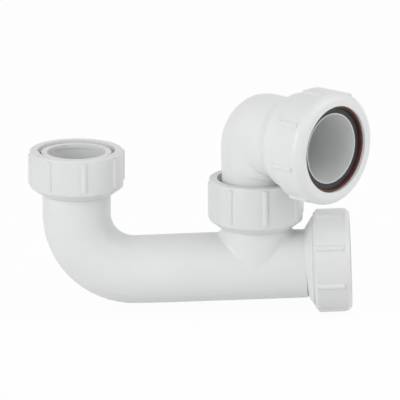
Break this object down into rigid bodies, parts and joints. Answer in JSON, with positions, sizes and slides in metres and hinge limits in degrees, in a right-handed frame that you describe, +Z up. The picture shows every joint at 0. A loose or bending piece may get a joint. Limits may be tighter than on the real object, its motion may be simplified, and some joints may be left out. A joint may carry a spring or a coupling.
{
  "type": "bath trap",
  "caption": "White plastic bath trap: a swept bend from a ribbed union nut to a tee with a swivelling outlet elbow and compression socket, and a screw cap on its cleaning eye.",
  "frame": {"origin": "centre of the mouth of the inlet nut, in the plane of its rim", "axes": "+Z up, out of the inlet along its leg; +X level, from the inlet towards the cleaning eye"},
  "size_m": [0.2151, 0.1013, 0.1523],
  "materials": {
    "white_plastic": "smooth white polypropylene, softly shiny",
    "white_washer": "soft white polyethylene",
    "black_rubber": "dull black rubber",
    "red_plastic": "dull red-brown hard plastic"
  },
  "bodies": {
    "trap": {"trap_body": "white_plastic", "inlet_washer": "white_washer"},
    "inlet_nut": {"inlet_nut": "white_plastic"},
    "coupling_nut": {"coupling_nut": "white_plastic"},
    "coupling_washer": {"coupling_washer": "white_washer"},
    "outlet": {"outlet_elbow": "white_plastic", "compression_seal": "black_rubber"},
    "slip_washer": {"slip_washer": "red_plastic"},
    "compression_nut": {"compression_nut": "white_plastic"},
    "cap_washer": {"cap_washer": "black_rubber"},
    "cleaning_cap": {"cleaning_cap": "white_plastic"}
  },
  "joints": [
    {"name": "inlet_nut_spin", "type": "hinge", "parent": "trap", "child": "inlet_nut", "pos_m": [0, 0, 0], "axis": [0, 0, 1], "continuous": true},
    {"name": "coupling_nut_turn", "type": "hinge", "parent": "trap", "child": "coupling_nut", "pos_m": [0.113, 0, -0.01737], "axis": [0, 0, -1], "range_deg": [0, 3600]},
    {"name": "elbow_lift", "type": "slide", "parent": "trap", "child": "coupling_washer", "axis": [0, 0, 1], "range_m": [0, 0.02309]},
    {"name": "outlet_swivel", "type": "hinge", "parent": "coupling_washer", "child": "outlet", "pos_m": [0.113, 0, 0.01273], "axis": [0, 0, 1], "continuous": true},
    {"name": "compression_travel", "type": "slide", "parent": "outlet", "child": "slip_washer", "axis": [0.749, -0.6626, 0], "range_m": [0, 0.01155]},
    {"name": "compression_nut_turn", "type": "hinge", "parent": "slip_washer", "child": "compression_nut", "pos_m": [0.113, 0, 0.01273], "axis": [0.749, -0.6626, 0], "range_deg": [0, 1800]},
    {"name": "cap_travel", "type": "slide", "parent": "trap", "child": "cap_washer", "axis": [0.999, 0, 0.0436], "range_m": [0, 0.01616]},
    {"name": "cap_turn", "type": "hinge", "parent": "cap_washer", "child": "cleaning_cap", "pos_m": [0.15978, 0, -0.07082], "axis": [0.999, 0, 0.0436], "range_deg": [0, 2520]}
  ],
  "couplings": [
    {"joint": "elbow_lift", "follows": "coupling_nut_turn", "m_per_rad": 0.00036749},
    {"joint": "compression_travel", "follows": "compression_nut_turn", "m_per_rad": 0.00036749},
    {"joint": "cap_travel", "follows": "cap_turn", "m_per_rad": 0.00036749}
  ]
}
